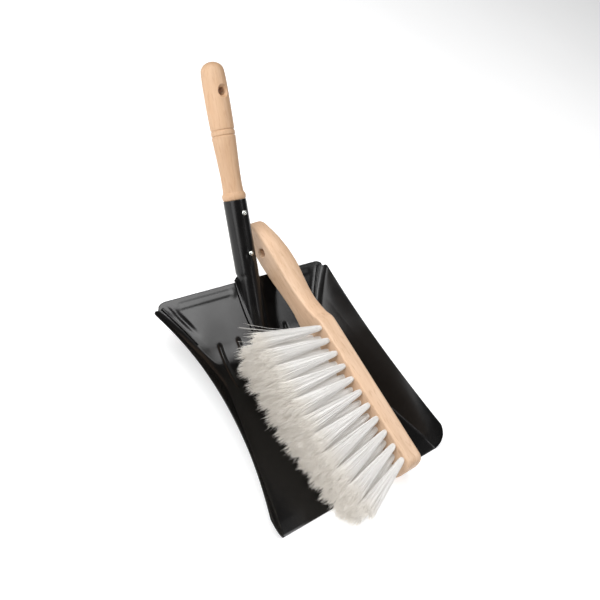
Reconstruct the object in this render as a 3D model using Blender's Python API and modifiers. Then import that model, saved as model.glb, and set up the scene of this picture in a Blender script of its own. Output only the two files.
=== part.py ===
"""Dust pan and brush set: a folded sheet pan on a turned handle, with a tufted hand brush lying in it.

Lengths are in metres, +Z is up, the pan opens towards -Y and its handle rises towards +Y.
Pieces are made in the pan's frame (origin at the middle of the front lip) and moved together at the end,
so that the middle of the bottom of the whole set's box is the world origin.
"""
from math import acos, cos, pi, radians, sin, tan

import bmesh
import bpy
from mathutils import Matrix, Vector

MM = 0.001
GAP = 0.3 * MM                     # clearance between pieces that touch

# ---- pan: sheet and plan ----
SHEET = 0.8 * MM                   # steel thickness
PAN_FRONT_WIDTH = 223.4 * MM
PAN_REAR_WIDTH = 127.6 * MM        # between the folds where the floor turns up
PAN_TOP_WIDTH = 227.2 * MM         # along the back wall's top edge
PAN_DEPTH = 173.7 * MM             # front lip to the rear fold
BACK_TOP_Y = 246.8 * MM
BACK_TOP_Z = 44.1 * MM             # inside surface at the top edge
SCOOP_RADIUS = 95 * MM             # bend between floor and back wall
LIP_BAND = 14 * MM                 # front band that slopes down to the table
LIP_DROP = 1.0 * MM
SIDE_FRONT_X = 123.3 * MM          # side wall's top edge, front end
SIDE_FRONT_Y = 15.9 * MM
SIDE_FRONT_Z = 18.7 * MM
SIDE_REAR_X = 119.2 * MM           # side wall's top edge, rear end
SIDE_REAR_Y = 237.3 * MM
SIDE_REAR_Z = 41.0 * MM
SIDE_BOW_IN = 14.4 * MM            # how far that edge bows in and up between its ends
SIDE_BOW_UP = 8.4 * MM
RIB_X = (-57.3 * MM, -32.8 * MM, 32.8 * MM, 57.3 * MM)
RIB_FRONT_Y = 150 * MM
RIB_REAR_Y = 199 * MM
RIB_WIDTH = 7.0 * MM
RIB_DEPTH = LIP_DROP               # the ribs press down as far as the lip does
BEAD_DROP = 7.5 * MM               # embossed bead, below the back wall's top edge
BEAD_WIDTH = 6.0 * MM
BEAD_HEIGHT = 1.3 * MM
BEAD_INNER_X = 24 * MM
BEAD_OUTER_X = 90 * MM
CORNER_ROUND = 9 * MM              # rounding of the back wall's upper corners
CORNER_DEPTH = 5 * MM              # how much the corner itself drops
CORNER_FROM_Y = 218 * MM           # below this the wall keeps its straight rows
LAP_WIDTH = 8 * MM                 # corner laps on the back wall
LAP_LOW_Y = 203 * MM
LAP_HIGH_Y = 243.5 * MM

# ---- socket ----
SOCKET_ANGLE = radians(42.45)      # rise of the handle's axis
SOCKET_RIM_Y = 307.1 * MM
SOCKET_RIM_Z = 104.6 * MM
SOCKET_RADIUS = 12.3 * MM
SOCKET_CLOSED = 76 * MM            # rim to where the tube opens
SOCKET_OPENING = 7 * MM             # length over which it opens
SOCKET_END = 142 * MM              # rim to the tongue's tip
SOCKET_WAIST = 61 * MM
WAIST_PINCH = 0.9 * MM
SEAM_HALF_ANGLE = radians(1.6)
FLANGE = 4.0 * MM
RIVET_AT = (14 * MM, 57 * MM)      # below the rim
RIVET_HEAD_RADIUS = 2.8 * MM
RIVET_HEAD_HEIGHT = 1.5 * MM
RIVET_SHANK_RADIUS = 1.6 * MM
RIVET_LENGTH = 15 * MM

# ---- pan handle ----
HANDLE_LENGTH = 141.8 * MM         # beyond the rim
HANDLE_GRIP_RADIUS = 13.0 * MM
HANDLE_WAIST_RADIUS = 10.6 * MM
HANDLE_BEAD_RADIUS = 12.6 * MM
HANDLE_BEAD_LENGTH = 7.5 * MM
HANDLE_SPIGOT = 72 * MM            # inside the socket
HANDLE_GROOVES = (66.8 * MM, 72.5 * MM)
GROOVE_DEPTH = 0.7 * MM
GROOVE_HALF_WIDTH = 0.9 * MM
HANG_HOLE_AT = 110.8 * MM
HANG_HOLE_RADIUS = 4.2 * MM
HANG_SINK_RADIUS = 6.2 * MM
HANG_SINK_DEPTH = 2.2 * MM

# ---- brush ----
BRUSH_YAW = radians(-0.8)          # direction of the brush's handle in plan, from +Y
BRUSH_SLOPE = radians(9.3)         # rise towards the handle's end
BRUSH_ROLL = radians(6.0)          # how far the bristles point below level
BRUSH_AT = (27.8 * MM, 79.2 * MM, 35.1 * MM)   # middle tuft on the bristle face
BLOCK_THICK = 19.7 * MM
BLOCK_WIDTH = 42.6 * MM
BLOCK_FRONT = 90.2 * MM            # middle tuft to the front end
BLOCK_SHOULDER = 84 * MM           # middle tuft to the shoulder
BLOCK_CORNER = 9 * MM
BRUSH_HANDLE_END = 221 * MM
BRUSH_NECK_WIDTH = 26.5 * MM
BRUSH_GRIP_WIDTH = 32.5 * MM
HANDLE_BEND = 2.5 * MM
HANDLE_BEND_LENGTH = 85 * MM
GRIP_FULLNESS = 4.5 * MM           # how much the grip's back stands out beyond the block's
GRIP_FULL_AT = 152 * MM
GRIP_FULL_HALF = 60 * MM
BRUSH_HOLE_FROM_END = 36.5 * MM
BRUSH_HOLE_RADIUS = 4.2 * MM
BACK_ROUND = 4.0 * MM              # rounding on the back of the block
FACE_ROUND = 1.8 * MM              # rounding round the bristle face
TUFT_PITCH = 15.45 * MM
ROW_PITCH = 10.4 * MM
ROW_COUNTS = (11, 10, 11, 10)      # from the upper edge down
TUFT_LENGTH = 84 * MM
TUFT_ROOT_RADIUS = 2.7 * MM
TUFT_TIP_RADIUS = 6.6 * MM
TUFT_HOLE_DEPTH = 8.5 * MM
HOLES_PER_CUT = 1                  # drilled one by one
FAN_ANGLE = radians(12.5)            # lean of the end tufts along the brush
FAN_BIAS = radians(6.5)            # all tufts lean this much towards the front
HIGH_ROW_LEAN = radians(7.5)       # lean of the top row away from the bottom one
LOW_ROW_LEAN = radians(-1.5)
TIP_ROW_SPACE = 11.6 * MM          # least height between the tips of neighbouring rows

SMOOTH_ANGLE = radians(40)


# ---- scene helpers ----
def clear_scene():
    for item in list(bpy.data.objects):
        bpy.data.objects.remove(item, do_unlink=True)


def new_collection(name):
    made = bpy.data.collections.new(name)
    bpy.context.scene.collection.children.link(made)
    return made


def material(name, colour, metallic, roughness):
    made = bpy.data.materials.new(name)
    made.use_nodes = True
    shader = made.node_tree.nodes["Principled BSDF"]
    shader.inputs["Base Color"].default_value = (*colour, 1.0)
    shader.inputs["Metallic"].default_value = metallic
    shader.inputs["Roughness"].default_value = roughness
    return made


def add_mesh(name, mesh, look, collection):
    made = bpy.data.objects.new(name, mesh)
    collection.objects.link(made)
    mesh.materials.clear()
    mesh.materials.append(look)
    return made


def from_bmesh(name, bm, look, collection, smooth=True):
    bmesh.ops.recalc_face_normals(bm, faces=bm.faces)
    for face in bm.faces:
        face.smooth = smooth
    mesh = bpy.data.meshes.new(name)
    bm.to_mesh(mesh)
    bm.free()
    return add_mesh(name, mesh, look, collection)


def solid_from_modifiers(item):
    """Replace an object's mesh by what its modifiers make of it."""
    depsgraph = bpy.context.evaluated_depsgraph_get()
    mesh = bpy.data.meshes.new_from_object(item.evaluated_get(depsgraph))
    item.modifiers.clear()
    item.data = mesh
    return item


def cut(item, cutter):
    modifier = item.modifiers.new("cut", "BOOLEAN")
    modifier.operation = "DIFFERENCE"
    modifier.solver = "EXACT"
    modifier.object = cutter
    solid_from_modifiers(item)
    tidy(item)


def tidy(item):
    bm = bmesh.new()
    bm.from_mesh(item.data)
    bmesh.ops.remove_doubles(bm, verts=bm.verts, dist=0.01 * MM)
    bmesh.ops.dissolve_degenerate(bm, edges=bm.edges, dist=0.01 * MM)
    bmesh.ops.recalc_face_normals(bm, faces=bm.faces)
    bm.to_mesh(item.data)
    bm.free()


def sharpen(item):
    """Keep smooth shading but crease edges steeper than SMOOTH_ANGLE."""
    bm = bmesh.new()
    bm.from_mesh(item.data)
    for face in bm.faces:
        face.smooth = True
    for edge in bm.edges:
        if len(edge.link_faces) == 2:
            edge.smooth = edge.calc_face_angle() < SMOOTH_ANGLE
    bm.to_mesh(item.data)
    bm.free()


def frame_matrix(origin, x_axis, y_axis, z_axis):
    columns = Matrix((x_axis, y_axis, z_axis)).transposed()
    return Matrix.Translation(origin) @ columns.to_4x4()


def turned(name, profile, segments, look, collection):
    """Turn a closed half profile of (radius, height) about Z with the Screw modifier."""
    bm = bmesh.new()
    points = [bm.verts.new((r, 0, z)) for r, z in profile]
    for low, high in zip(points, points[1:]):
        bm.edges.new((low, high))
    mesh = bpy.data.meshes.new(name)
    bm.to_mesh(mesh)
    bm.free()
    item = add_mesh(name, mesh, look, collection)
    screw = item.modifiers.new("turn", "SCREW")
    screw.steps = segments
    screw.render_steps = segments
    screw.use_merge_vertices = True
    screw.merge_threshold = 0.00005
    screw.use_smooth_shade = True
    solid_from_modifiers(item)
    tidy(item)
    return item


def rod(name, radii, depth, matrix, cutters, segments=24):
    """Cutter: a cone or cylinder about Z, its middle at the matrix's origin."""
    bm = bmesh.new()
    bmesh.ops.create_cone(bm, cap_ends=True, segments=segments, radius1=radii[0], radius2=radii[1],
                          depth=depth, matrix=matrix)
    item = from_bmesh(name, bm, steel_look, cutters)
    item.hide_render = True
    item.display_type = "WIRE"
    return item


# ---- pan ----
def floor_height():
    return SHEET + LIP_DROP


def scoop_tangent():
    angle = slope_angle()
    return SCOOP_RADIUS * tan(angle / 2)


def slope_angle():
    run = BACK_TOP_Y - PAN_DEPTH
    rise = BACK_TOP_Z - floor_height()
    return pi / 2 - acos(rise / (run * run + rise * rise) ** 0.5)


def profile_height(y):
    """Inside surface of floor, scoop and back wall at distance y from the lip."""
    angle = slope_angle()
    start = PAN_DEPTH - scoop_tangent()
    end = PAN_DEPTH + scoop_tangent() * cos(angle)
    if y < LIP_BAND:
        return SHEET + LIP_DROP * y / LIP_BAND
    if y <= start:
        return floor_height()
    if y < end:
        run = y - start
        return floor_height() + SCOOP_RADIUS - (SCOOP_RADIUS ** 2 - run * run) ** 0.5
    return floor_height() + (y - PAN_DEPTH) * tan(angle)


def profile_normal(y):
    step = 0.5 * MM
    rise = profile_height(y + step) - profile_height(y - step)
    return Vector((0, -rise, 2 * step)).normalized()


def half_width(y):
    if y <= PAN_DEPTH:
        share = y / PAN_DEPTH
        return 0.5 * (PAN_FRONT_WIDTH + share * (PAN_REAR_WIDTH - PAN_FRONT_WIDTH))
    share = (y - PAN_DEPTH) / (BACK_TOP_Y - PAN_DEPTH)
    return 0.5 * (PAN_REAR_WIDTH + share * (PAN_TOP_WIDTH - PAN_REAR_WIDTH))


def corner_drop(x, y):
    """How far the back wall's rows bend down towards its rounded upper corners."""
    reach = max(0.0, abs(x) - (half_width(BACK_TOP_Y) - CORNER_ROUND) * half_width(y) / half_width(BACK_TOP_Y))
    reach = min(reach, CORNER_ROUND)
    share = max(0.0, y - CORNER_FROM_Y) / (BACK_TOP_Y - CORNER_FROM_Y)
    return share * CORNER_DEPTH * (1 - (1 - (reach / CORNER_ROUND) ** 2) ** 0.5)


def wall_point(x, y):
    """Point of the inside surface with the rounded corners taken off, before embossing."""
    y -= corner_drop(x, y) * cos(slope_angle())
    return Vector((x, y, profile_height(y)))


def hump(distance, half):
    """Rounded bump: 1 in the middle, 0 from half a width away."""
    share = min(1.0, abs(distance) / half)
    return 0.5 * (1 + cos(pi * share))


def emboss(x, y):
    """Depth of ribs (down) and beads (up) along the inside surface's normal."""
    depth = 0.0
    for rib in RIB_X:
        middle = 0.5 * (RIB_FRONT_Y + RIB_REAR_Y)
        past = max(0.0, abs(y - middle) - 0.5 * (RIB_REAR_Y - RIB_FRONT_Y) + 4 * MM)
        depth -= RIB_DEPTH * hump(x - rib, 0.5 * RIB_WIDTH) * hump(past, 4 * MM)
    bead_y = BACK_TOP_Y - BEAD_DROP * cos(slope_angle())
    ends = max(0.0, BEAD_INNER_X + 5 * MM - abs(x), abs(x) - BEAD_OUTER_X + 5 * MM)
    depth += BEAD_HEIGHT * hump(y - bead_y, 0.5 * BEAD_WIDTH) * hump(ends, 5 * MM)
    return depth


def strip_rows():
    start = PAN_DEPTH - scoop_tangent()
    bead_y = BACK_TOP_Y - BEAD_DROP * cos(slope_angle())
    rows = [0, LIP_BAND, 50 * MM, 85 * MM, 120 * MM, start, RIB_FRONT_Y]
    rows += [RIB_FRONT_Y + 4 * MM, 160 * MM, 167 * MM, PAN_DEPTH, 181 * MM, 188 * MM]
    rows += [RIB_REAR_Y - 4 * MM, RIB_REAR_Y, 208 * MM, 218 * MM, 228 * MM]
    rows += [bead_y - 0.5 * BEAD_WIDTH, bead_y - 0.25 * BEAD_WIDTH, bead_y]
    rows += [bead_y + 0.25 * BEAD_WIDTH, bead_y + 0.5 * BEAD_WIDTH, BACK_TOP_Y]
    return sorted(rows)


def strip_columns():
    """Fixed columns near the ribs; the outer ones spread with the width."""
    right = [0.0, 12 * MM, BEAD_INNER_X]
    for rib in RIB_X[2:]:
        right += [rib - 0.5 * RIB_WIDTH, rib - 0.25 * RIB_WIDTH, rib]
        right += [rib + 0.25 * RIB_WIDTH, rib + 0.5 * RIB_WIDTH]
    right = sorted(right)
    return [-x for x in reversed(right[1:])] + right


def strip_row_points(y):
    inner = strip_columns()
    edge = half_width(y)
    limit = inner[-1]
    outer = [limit + (edge - limit) * share for share in (0.3, 0.6, 0.84, 0.9, 0.96, 1.0)]
    xs = [-x for x in reversed(outer)] + inner + outer
    normal = profile_normal(y)
    points = []
    for x in xs:
        points.append(wall_point(x, y) + normal * emboss(x, y))
    return points


def bezier2(a, b, c, t):
    return a * (1 - t) ** 2 + b * 2 * t * (1 - t) + c * t * t


def side_top(share):
    """Top edge of the right side wall, front to rear; the last part rounds into the seam."""
    front = Vector((SIDE_FRONT_X, SIDE_FRONT_Y, SIDE_FRONT_Z))
    rear = Vector((SIDE_REAR_X, SIDE_REAR_Y, SIDE_REAR_Z))
    seam = wall_point(0.5 * PAN_TOP_WIDTH, BACK_TOP_Y)
    if share < 0.93:
        t = share / 0.93
        bow = 4 * t * (1 - t)
        return front.lerp(rear, t) + Vector((-SIDE_BOW_IN * bow, 0, SIDE_BOW_UP * bow))
    t = (share - 0.93) / 0.07
    knee = rear + Vector((0.5 * MM, 6 * MM, 3.0 * MM))
    return bezier2(rear, knee, seam, t)


def side_patch(rows):
    """Coons patch between the fold, the top edge, the front corner and the rear seam."""
    low = [y for y in rows if y <= PAN_DEPTH]
    high = [y for y in rows if y >= PAN_DEPTH]
    across = len(high) - 1
    along = len(low) - 1

    def strip_edge(y):
        return wall_point(half_width(y), y)

    shares = [y / PAN_DEPTH for y in low]
    ups = [(y - PAN_DEPTH) / (BACK_TOP_Y - PAN_DEPTH) for y in high]
    corner_low = strip_edge(low[0])
    corner_rear = strip_edge(PAN_DEPTH)
    corner_top = side_top(0.0)
    corner_seam = side_top(1.0)
    knee = Vector((SIDE_FRONT_X - 1.5 * MM, 1.0 * MM, SIDE_FRONT_Z - 5 * MM))
    grid = []
    for i in range(along + 1):
        u = shares[i]
        line = []
        for j in range(across + 1):
            v = ups[j]
            ruled_v = strip_edge(low[i]).lerp(side_top(u), v)
            front = bezier2(corner_low, knee, corner_top, v)
            ruled_u = front.lerp(strip_edge(high[j]), u)
            bottom = corner_low.lerp(corner_rear, u)
            top = corner_top.lerp(corner_seam, u)
            line.append(ruled_v + ruled_u - bottom.lerp(top, v))
        grid.append(line)
    return grid


def quads(bm, grid):
    verts = [[bm.verts.new(p) for p in line] for line in grid]
    for a, b in zip(verts, verts[1:]):
        for k in range(len(a) - 1):
            bm.faces.new((a[k], a[k + 1], b[k + 1], b[k]))


def thicken(item, thickness, offset):
    modifier = item.modifiers.new("thickness", "SOLIDIFY")
    modifier.thickness = thickness
    modifier.offset = offset
    modifier.use_even_offset = True
    modifier.use_quality_normals = True
    solid_from_modifiers(item)


def orient_up(bm):
    """Make a sheet's faces agree and point to the inside of the pan."""
    bmesh.ops.remove_doubles(bm, verts=bm.verts, dist=0.02 * MM)
    bmesh.ops.recalc_face_normals(bm, faces=bm.faces)
    total = sum(face.normal.z * face.calc_area() for face in bm.faces)
    if total < 0:
        bmesh.ops.reverse_faces(bm, faces=bm.faces)


def sheet_object(name, bm, look, collection):
    orient_up(bm)
    mesh = bpy.data.meshes.new(name)
    bm.to_mesh(mesh)
    bm.free()
    return add_mesh(name, mesh, look, collection)


def make_tray(collection):
    rows = strip_rows()
    bm = bmesh.new()
    quads(bm, [strip_row_points(y) for y in rows])
    patch = side_patch(rows)
    quads(bm, patch)
    quads(bm, [[Vector((-p.x, p.y, p.z)) for p in line] for line in patch])
    item = sheet_object("pan_tray", bm, black_look, collection)
    thicken(item, SHEET, -1.0)
    sharpen(item)
    return item


def make_lap(name, side, collection):
    """Flap of the side wall folded over the inside of the back wall at one corner."""
    grid = []
    count = 7
    for i in range(count + 1):
        y = LAP_LOW_Y + (LAP_HIGH_Y - LAP_LOW_Y) * i / count
        rise = profile_normal(y) * (GAP + SHEET)
        outer = half_width(y) - 2.4 * MM
        width = LAP_WIDTH * min(1.0, 0.25 + 0.75 * i / 3)
        grid.append([wall_point(side * (outer - width * k / 3), y) + rise for k in range(4)])
    bm = bmesh.new()
    quads(bm, grid)
    item = sheet_object(name, bm, black_look, collection)
    thicken(item, SHEET, -1.0)
    sharpen(item)
    return item


# ---- socket: positions in its own frame are (x, n above the axis, s below the rim) ----
socket_down = Vector((0, -cos(SOCKET_ANGLE), -sin(SOCKET_ANGLE)))
socket_up = Vector((0, -sin(SOCKET_ANGLE), cos(SOCKET_ANGLE)))
socket_rim = Vector((0, SOCKET_RIM_Y, SOCKET_RIM_Z))


def socket_point(x, n, s):
    return socket_rim + socket_down * s + socket_up * n + Vector((x, 0, 0))


def wall_level(s):
    """Height n above the socket's axis of the pan's inside surface at s."""
    low, high = -40 * MM, 40 * MM
    for _ in range(40):
        middle = 0.5 * (low + high)
        point = socket_point(0, middle, s)
        if point.z > profile_height(point.y):
            high = middle
        else:
            low = middle
    return high


def socket_section(s):
    """Half section from the crown (x=0) round to the free edge, as (x, n) pairs."""
    radius = SOCKET_RADIUS
    arc_steps = 12
    pinch = WAIST_PINCH * hump(s - SOCKET_WAIST, 9 * MM)
    if s <= SOCKET_CLOSED:
        reach = pi - SEAM_HALF_ANGLE
        points = []
        for k in range(arc_steps + 3):
            angle = reach * k / (arc_steps + 2)
            local = radius - pinch * hump(angle - radians(20), radians(24))
            points.append((local * sin(angle), local * cos(angle)))
        return points
    level = wall_level(s) + GAP + SHEET + 0.3 * MM
    level = min(level, radius - 1.2 * MM)
    reach = acos(level / radius)
    points = []
    for k in range(arc_steps + 1):
        angle = reach * k / arc_steps
        points.append((radius * sin(angle), radius * cos(angle)))
    foot = points[-1][0]
    points[-1] = (foot + 0.6 * MM, level)
    points.append((foot + 0.55 * FLANGE, level))
    points.append((foot + FLANGE, level))
    return points


def make_socket(collection, cutters):
    waist = SOCKET_WAIST
    stations = [0, 6 * MM, 26 * MM, 42 * MM, waist - 9 * MM, waist - 5 * MM, waist - 2 * MM, waist]
    stations += [waist + 2 * MM, waist + 5 * MM, waist + 9 * MM, SOCKET_CLOSED]
    first_open = SOCKET_CLOSED + SOCKET_OPENING
    steps = 7
    stations += [first_open + (SOCKET_END - first_open) * k / steps for k in range(steps + 1)]
    grid = []
    for s in stations:
        half = socket_section(s)
        line = [socket_point(-x, n, s) for x, n in reversed(half[1:])]
        line += [socket_point(x, n, s) for x, n in half]
        grid.append(line)
    bm = bmesh.new()
    quads(bm, grid)
    bmesh.ops.recalc_face_normals(bm, faces=bm.faces)
    crown = min(bm.faces, key=lambda face: (face.calc_center_median() - socket_point(0, 14 * MM, 20 * MM)).length)
    if crown.normal.dot(socket_up) < 0:
        bmesh.ops.reverse_faces(bm, faces=bm.faces)
    mesh = bpy.data.meshes.new("handle_socket")
    bm.to_mesh(mesh)
    bm.free()
    item = add_mesh("handle_socket", mesh, black_look, collection)
    thicken(item, SHEET, -1.0)
    for index, s in enumerate(RIVET_AT):
        place = frame_matrix(socket_point(0, SOCKET_RADIUS, s), Vector((1, 0, 0)), -socket_down, socket_up)
        radius = RIVET_SHANK_RADIUS + GAP
        cut(item, rod("socket_hole_%d" % index, (radius, radius), 6 * MM, place, cutters, 16))
    sharpen(item)
    return item


def make_rivets(collection):
    head = RIVET_HEAD_RADIUS
    rise = RIVET_HEAD_HEIGHT
    profile = [(0, rise)]
    for k in range(1, 6):
        angle = pi / 2 * k / 5
        profile.append((head * sin(angle), rise * cos(angle)))
    profile += [(RIVET_SHANK_RADIUS, 0), (RIVET_SHANK_RADIUS, -RIVET_LENGTH), (0, -RIVET_LENGTH)]
    for name, s in zip(("rivet_upper", "rivet_lower"), RIVET_AT):
        item = turned(name, profile, 16, steel_look, collection)
        seat = SOCKET_RADIUS + GAP
        item.data.transform(frame_matrix(socket_point(0, seat, s), Vector((1, 0, 0)), -socket_down, socket_up))
        sharpen(item)


# ---- pan handle ----
def handle_profile():
    """Outer radius against height above the rim, top first."""
    top = HANDLE_LENGTH
    grip = HANDLE_GRIP_RADIUS
    points = [(0, top)]
    for k in range(1, 6):
        angle = pi / 2 * k / 5
        points.append((grip * 0.94 * sin(angle), top - 10 * MM * (1 - cos(angle))))
    points += [(grip * 0.985, top - 18 * MM), (grip, top - 32 * MM), (grip, top - 50 * MM)]
    for groove in reversed(HANDLE_GROOVES):
        radius = grip * 0.965
        points += [(radius, groove + GROOVE_HALF_WIDTH), (radius - GROOVE_DEPTH, groove)]
        points += [(radius, groove - GROOVE_HALF_WIDTH)]
    waist = HANDLE_WAIST_RADIUS
    points += [(grip * 0.93, 56 * MM), (grip * 0.88, 44 * MM), (waist * 1.025, 32 * MM)]
    points += [(waist, 22 * MM), (waist * 1.01, 14 * MM), (waist * 1.03, HANDLE_BEAD_LENGTH + 0.8 * MM)]
    bead = HANDLE_BEAD_RADIUS
    points += [(bead - 1.0 * MM, HANDLE_BEAD_LENGTH), (bead, HANDLE_BEAD_LENGTH - 1.6 * MM)]
    points += [(bead, 1.8 * MM), (bead - 0.6 * MM, GAP)]
    spigot = SOCKET_RADIUS - SHEET - GAP - 0.1 * MM
    low = SOCKET_WAIST - 13 * MM
    slim = spigot - WAIST_PINCH
    points += [(spigot, GAP), (spigot, -low), (slim, -low - 4 * MM)]
    points += [(slim, -HANDLE_SPIGOT + 1.5 * MM), (slim - 1.5 * MM, -HANDLE_SPIGOT), (0, -HANDLE_SPIGOT)]
    return points


def make_pan_handle(collection, cutters):
    item = turned("pan_handle", handle_profile(), 32, beech_look, collection)
    item.data.transform(frame_matrix(socket_rim, Vector((1, 0, 0)), socket_up * -1, socket_down * -1))
    across = frame_matrix(socket_point(0, 0, -HANG_HOLE_AT), Vector((1, 0, 0)), -socket_down, socket_up)
    cut(item, rod("hang_hole", (HANG_HOLE_RADIUS, HANG_HOLE_RADIUS), 40 * MM, across, cutters))
    for side in (-1, 1):
        depth = 2 * HANG_SINK_DEPTH
        middle = side * HANDLE_GRIP_RADIUS
        place = frame_matrix(socket_point(0, middle, -HANG_HOLE_AT), Vector((1, 0, 0)), -socket_down, socket_up)
        wide = 2 * HANG_SINK_RADIUS - HANG_HOLE_RADIUS
        radii = (wide, HANG_HOLE_RADIUS) if side < 0 else (HANG_HOLE_RADIUS, wide)
        cut(item, rod("hang_sink_%d" % (side + 1), radii, depth, place, cutters))
    for index, s in enumerate(RIVET_AT):
        depth = RIVET_LENGTH + 2 * MM
        middle = SOCKET_RADIUS + GAP - 0.5 * depth + 1 * MM
        place = frame_matrix(socket_point(0, middle, s), Vector((1, 0, 0)), -socket_down, socket_up)
        radius = RIVET_SHANK_RADIUS + GAP
        cut(item, rod("handle_hole_%d" % index, (radius, radius), depth + 2 * MM, place, cutters, 16))
    sharpen(item)
    return item


# ---- brush: its frame has X along the handle, Y across (up), Z out of the bristle face ----
def brush_frame():
    along = Vector((sin(BRUSH_YAW) * cos(BRUSH_SLOPE), cos(BRUSH_YAW) * cos(BRUSH_SLOPE), sin(BRUSH_SLOPE)))
    side = along.cross(Vector((0, 0, 1))).normalized()
    up = side.cross(along)
    out = -side * cos(BRUSH_ROLL) - up * sin(BRUSH_ROLL)
    across = up * cos(BRUSH_ROLL) - side * sin(BRUSH_ROLL)
    return frame_matrix(Vector(BRUSH_AT), along, -across, out)


def handle_bend(x):
    """The grip sits a little nearer the bristles than the block does."""
    share = min(1.0, max(0.0, (x - BLOCK_SHOULDER) / HANDLE_BEND_LENGTH))
    return HANDLE_BEND * share * share * (3 - 2 * share)


def grip_fullness(x, z):
    """The grip's back is fuller than the block's, most of all under the palm."""
    depth = max(0.0, -(z + 0.5 * BLOCK_THICK) / (0.5 * BLOCK_THICK))
    return GRIP_FULLNESS * hump(x - GRIP_FULL_AT, GRIP_FULL_HALF) * depth


def block_outline():
    """Half outline from the front end's middle to the handle's tip, as (x, half width)."""
    half = 0.5 * BLOCK_WIDTH
    neck = 0.5 * BRUSH_NECK_WIDTH
    grip = 0.5 * BRUSH_GRIP_WIDTH
    points = [(-BLOCK_FRONT, 0), (-BLOCK_FRONT + 0.2 * MM, 0.35 * half)]
    for k in range(5):
        angle = pi / 2 * k / 4
        x = -BLOCK_FRONT + 1.2 * MM + BLOCK_CORNER * (1 - cos(angle))
        points.append((x, half - BLOCK_CORNER * (1 - sin(angle))))
    points += [(BLOCK_SHOULDER - 3 * MM, half), (BLOCK_SHOULDER + 1.5 * MM, half - 1.4 * MM)]
    points += [(BLOCK_SHOULDER + 8 * MM, half - 5 * MM), (BLOCK_SHOULDER + 15 * MM, neck + 1.8 * MM)]
    points += [(BLOCK_SHOULDER + 24 * MM, neck + 0.3 * MM), (BLOCK_SHOULDER + 34 * MM, neck)]
    tip = BRUSH_HANDLE_END
    points += [(tip - 80 * MM, neck + 0.6 * MM), (tip - 62 * MM, grip - 0.5 * MM), (tip - 46 * MM, grip)]
    points += [(tip - 30 * MM, grip - 0.4 * MM), (tip - 18 * MM, grip - 2.2 * MM)]
    for k in range(1, 5):
        angle = pi / 2 * k / 4
        points.append((tip - 11 * MM + 11 * MM * sin(angle), (grip - 4.5 * MM) * cos(angle)))
    return points


def make_block(collection, cutters, tufts):
    half = block_outline()
    outline = half + [(x, -w) for x, w in reversed(half[1:-1])]
    curve = bpy.data.curves.new("block_outline", "CURVE")
    curve.dimensions = "2D"
    curve.fill_mode = "BOTH"
    curve.extrude = 0.5 * BLOCK_THICK
    spline = curve.splines.new("POLY")
    spline.points.add(len(outline) - 1)
    for point, (x, y) in zip(spline.points, outline):
        point.co = (x, y, 0, 1)
    spline.use_cyclic_u = True
    drawn = bpy.data.objects.new("block_outline", curve)
    collection.objects.link(drawn)
    depsgraph = bpy.context.evaluated_depsgraph_get()
    mesh = bpy.data.meshes.new_from_object(drawn.evaluated_get(depsgraph))
    bpy.data.objects.remove(drawn, do_unlink=True)
    bm = bmesh.new()
    bm.from_mesh(mesh)
    bmesh.ops.remove_doubles(bm, verts=bm.verts, dist=0.01 * MM)
    bmesh.ops.dissolve_limit(bm, angle_limit=0.001, verts=bm.verts, edges=bm.edges)
    bmesh.ops.recalc_face_normals(bm, faces=bm.faces)
    for level, radius, steps in ((-1, BACK_ROUND, 3), (1, FACE_ROUND, 2)):
        rim = []
        for edge in bm.edges:
            flat = [abs(face.normal.z) > 0.9 for face in edge.link_faces]
            if flat.count(True) == 1 and edge.verts[0].co.z * level > 0 and edge.verts[1].co.z * level > 0:
                rim.append(edge)
        bmesh.ops.bevel(bm, geom=rim, offset=radius, offset_type="OFFSET", affect="EDGES",
                        segments=steps, profile=0.5, material=-1)
    bmesh.ops.translate(bm, verts=bm.verts, vec=(0, 0, -0.5 * BLOCK_THICK))
    item = from_bmesh("brush_block", bm, beech_look, collection)
    hang = Matrix.Translation((BRUSH_HANDLE_END - BRUSH_HOLE_FROM_END, 0, -0.5 * BLOCK_THICK))
    cut(item, rod("brush_hang", (BRUSH_HOLE_RADIUS, BRUSH_HOLE_RADIUS), BLOCK_THICK + 6 * MM, hang, cutters, 20))
    for first in range(0, len(tufts), HOLES_PER_CUT):
        bm = bmesh.new()
        for root, lean in tufts[first:first + HOLES_PER_CUT]:
            side = lean.cross(Vector((0, 1, 0))).normalized()
            place = frame_matrix(root, side, lean.cross(side), lean)
            radius = TUFT_ROOT_RADIUS + GAP
            bmesh.ops.create_cone(bm, cap_ends=True, segments=13, radius1=radius, radius2=radius,
                                  depth=2 * (TUFT_HOLE_DEPTH + GAP), matrix=place)
        drill = from_bmesh("tuft_holes_%02d" % first, bm, steel_look, cutters)
        drill.hide_render = True
        drill.display_type = "WIRE"
        cut(item, drill)
    for vertex in item.data.vertices:
        fullness = grip_fullness(vertex.co.x, vertex.co.z)
        vertex.co.z += handle_bend(vertex.co.x) - fullness
    item.data.transform(brush_frame())
    sharpen(item)
    return item


def tuft_roots():
    """Root point and lean of every tuft in the brush's frame, row by row from the top."""
    found = []
    rows = len(ROW_COUNTS)
    for row, count in enumerate(ROW_COUNTS):
        across = (row - 0.5 * (rows - 1)) * ROW_PITCH
        row_lean = LOW_ROW_LEAN + (HIGH_ROW_LEAN - LOW_ROW_LEAN) * (rows - 1 - row) / (rows - 1)
        for index in range(count):
            place = (index - 0.5 * (count - 1)) * TUFT_PITCH
            reach = 0.5 * (ROW_COUNTS[0] - 1) * TUFT_PITCH
            fan = FAN_ANGLE * place / reach - FAN_BIAS
            lean = Vector((sin(fan), -sin(row_lean) * cos(fan), cos(fan) * cos(row_lean)))
            found.append((row, index, Vector((place, across, 0)), lean.normalized()))
    return found


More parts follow.
